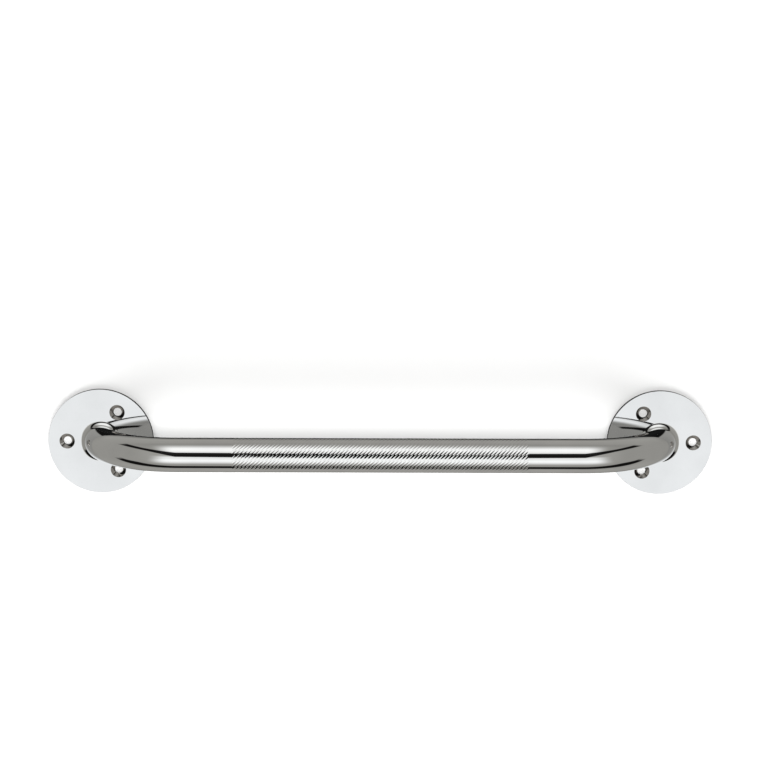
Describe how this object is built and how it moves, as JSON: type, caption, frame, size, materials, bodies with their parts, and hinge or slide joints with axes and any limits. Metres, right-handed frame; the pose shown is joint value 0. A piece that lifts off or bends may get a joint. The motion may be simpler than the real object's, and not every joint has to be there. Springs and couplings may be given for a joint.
{
  "type": "grab rail",
  "caption": "Chrome grab rail: a bent round tube with a knurled grip, welded at each end into a round screw-down flange.",
  "frame": {"origin": "on the mounting surface, midway between the centres of the two flanges", "axes": "+X along the grip, +Z out from the mounting surface towards the hand, +Y across the rail"},
  "size_m": [0.4826, 0.0762, 0.0621],
  "materials": {
    "tube_chrome": "polished, with a knurled band on the grip",
    "flange_chrome": "polished",
    "weld_chrome": "dressed and plated over"
  },
  "bodies": {
    "root": {"grip_tube": "tube_chrome", "left_flange": "flange_chrome", "right_flange": "flange_chrome", "left_front_weld": "weld_chrome", "right_front_weld": "weld_chrome", "left_back_weld": "weld_chrome", "right_back_weld": "weld_chrome"}
  },
  "joints": []
}
